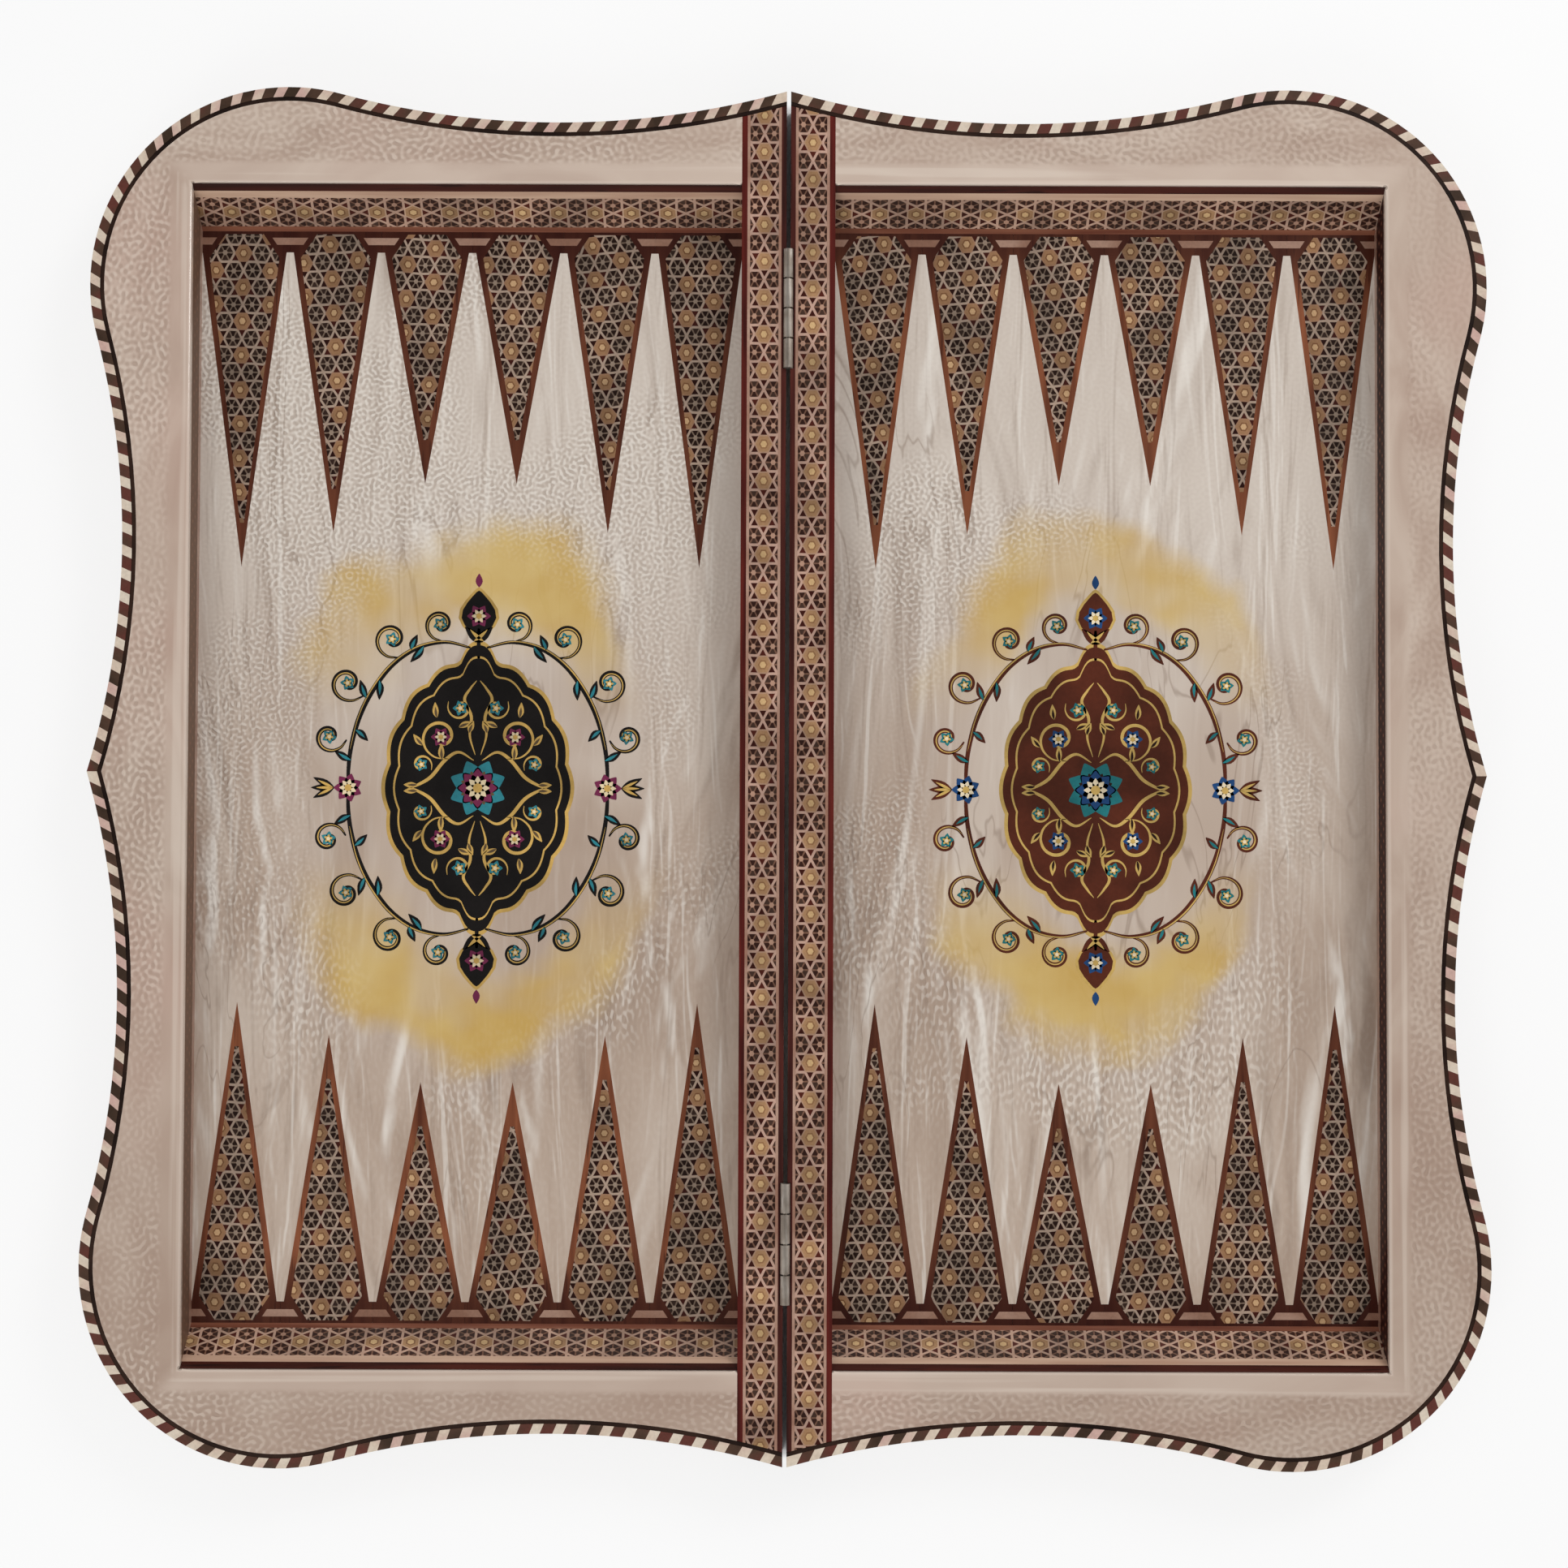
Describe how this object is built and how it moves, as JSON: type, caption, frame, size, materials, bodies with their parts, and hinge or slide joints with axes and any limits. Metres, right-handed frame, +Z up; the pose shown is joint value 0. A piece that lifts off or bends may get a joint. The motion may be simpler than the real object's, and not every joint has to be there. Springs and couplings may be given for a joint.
{
  "type": "chess and backgammon board",
  "caption": "Folding game board of two hinged trays with inlaid points, a scalloped lacquered frame with rope-pattern edging, and a chessboard on the back.",
  "frame": {"origin": "on the fold line, in the middle of the board's length, on the surface that the open board lies on", "axes": "+X from the left half to the right half, +Y along the fold to the upper end, +Z up, from the chessboard to the backgammon side"},
  "size_m": [0.5, 0.492, 0.0279],
  "materials": {
    "frame_lacquer": "marbled beige lacquer, gloss",
    "field_lacquer": "pearly marbled lacquer, gloss",
    "base_wood": "varnished",
    "rail_wood": "varnished",
    "red_wood": "varnished",
    "dark_wood": "varnished",
    "light_wood": "varnished",
    "khatam": "polished mosaic of wood, bone and brass",
    "pale_line": "polished",
    "red_string": "polished",
    "black_line": "polished",
    "bone": "polished camel bone",
    "hinge_steel": "satin"
  },
  "bodies": {
    "left_half": {"left_base_panel": "base_wood", "left_field_panel": "field_lacquer", "left_outer_rail": "frame_lacquer", "left_top_rail": "frame_lacquer", "left_bottom_rail": "frame_lacquer", "left_hinge_rail": "rail_wood", "left_end_ramps": "rail_wood", "left_ramp_khatam": "khatam", "left_ramp_lines": "pale_line", "left_ramp_edges": "black_line", "left_wall_khatam": "khatam", "left_wall_lines": "pale_line", "left_point_plates": "khatam", "left_point_borders": "red_wood", "left_head_segments": "pale_line", "left_trim_light": "bone", "left_trim_dark": "dark_wood", "left_trim_line": "black_line", "left_rail_khatam": "khatam", "left_rail_lines": "pale_line", "left_rail_strings": "red_string", "left_dark_squares": "dark_wood", "left_light_squares": "light_wood", "left_chess_border": "red_wood", "upper_left_leaf": "hinge_steel", "lower_left_leaf": "hinge_steel", "upper_pin": "hinge_steel", "lower_pin": "hinge_steel", "left_hinge_screws": "hinge_steel"},
    "right_half": {"right_base_panel": "base_wood", "right_field_panel": "field_lacquer", "right_outer_rail": "frame_lacquer", "right_top_rail": "frame_lacquer", "right_bottom_rail": "frame_lacquer", "right_hinge_rail": "rail_wood", "right_end_ramps": "rail_wood", "right_ramp_khatam": "khatam", "right_ramp_lines": "pale_line", "right_ramp_edges": "black_line", "right_wall_khatam": "khatam", "right_wall_lines": "pale_line", "right_point_plates": "khatam", "right_point_borders": "red_wood", "right_head_segments": "pale_line", "right_trim_light": "bone", "right_trim_dark": "dark_wood", "right_trim_line": "black_line", "right_rail_khatam": "khatam", "right_rail_lines": "pale_line", "right_rail_strings": "red_string", "right_dark_squares": "dark_wood", "right_light_squares": "light_wood", "right_chess_border": "red_wood", "upper_right_leaf": "hinge_steel", "lower_right_leaf": "hinge_steel", "right_hinge_screws": "hinge_steel"}
  },
  "joints": [
    {"name": "fold", "type": "hinge", "parent": "left_half", "child": "right_half", "pos_m": [0, 0, 0.0262], "axis": [0, -1, 0], "range_deg": [0, 180]}
  ]
}
